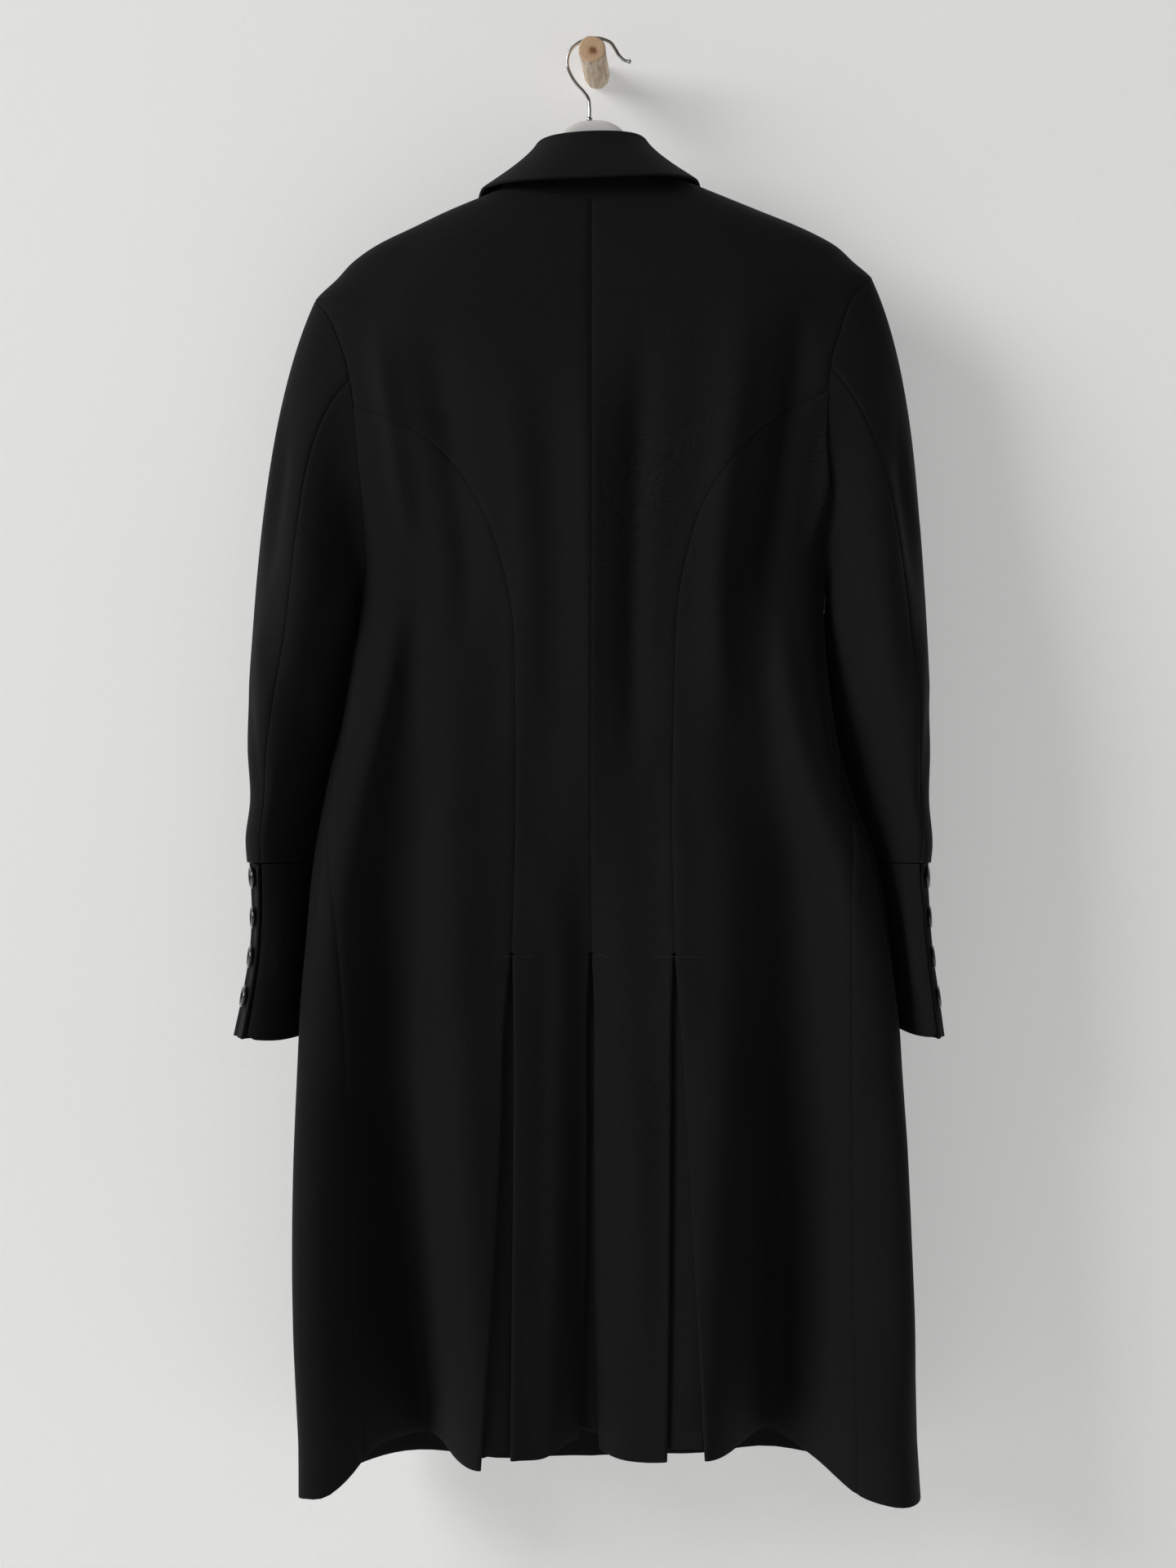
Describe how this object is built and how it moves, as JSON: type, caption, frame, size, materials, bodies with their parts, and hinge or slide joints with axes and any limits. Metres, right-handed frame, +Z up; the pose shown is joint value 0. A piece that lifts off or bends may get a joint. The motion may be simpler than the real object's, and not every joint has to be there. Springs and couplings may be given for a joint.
{
  "type": "long military coat on a hanger and wall peg",
  "caption": "Long black twill coat with inverted back pleats, shaped sleeves and deep buttoned cuffs, hung by a wire-hook hanger from a round wooden wall peg.",
  "frame": {"origin": "centre of the wooden peg's flat face on the wall", "axes": "+Z up; +Y into the wall, so the coat's back faces -Y and its front faces the wall; +X to the wearer's right"},
  "size_m": [0.6156, 0.2045, 1.2642],
  "materials": {
    "black_twill": "matte twill",
    "black_button": "glossy",
    "white_hanger": "satin",
    "bright_wire": "polished",
    "pale_wood": "sanded"
  },
  "bodies": {
    "root": {"back_left": "black_twill", "back_right": "black_twill", "side_back_left": "black_twill", "side_back_right": "black_twill", "front_left": "black_twill", "front_right": "black_twill", "upper_sleeve_left": "black_twill", "upper_sleeve_right": "black_twill", "under_sleeve_left": "black_twill", "under_sleeve_right": "black_twill", "cuff_left": "black_twill", "cuff_right": "black_twill", "pleat_underlay_left": "black_twill", "pleat_underlay_middle": "black_twill", "pleat_underlay_right": "black_twill", "collar_stand": "black_twill", "collar_fall": "black_twill", "cuff_button_left_1": "black_button", "cuff_button_left_2": "black_button", "cuff_button_left_3": "black_button", "cuff_button_left_4": "black_button", "cuff_button_right_1": "black_button", "cuff_button_right_2": "black_button", "cuff_button_right_3": "black_button", "cuff_button_right_4": "black_button", "front_button_1": "black_button", "front_button_2": "black_button", "front_button_3": "black_button", "front_button_4": "black_button", "front_button_5": "black_button", "hanger": "white_hanger", "hanger_hook": "bright_wire", "wall_peg": "pale_wood"}
  },
  "joints": []
}
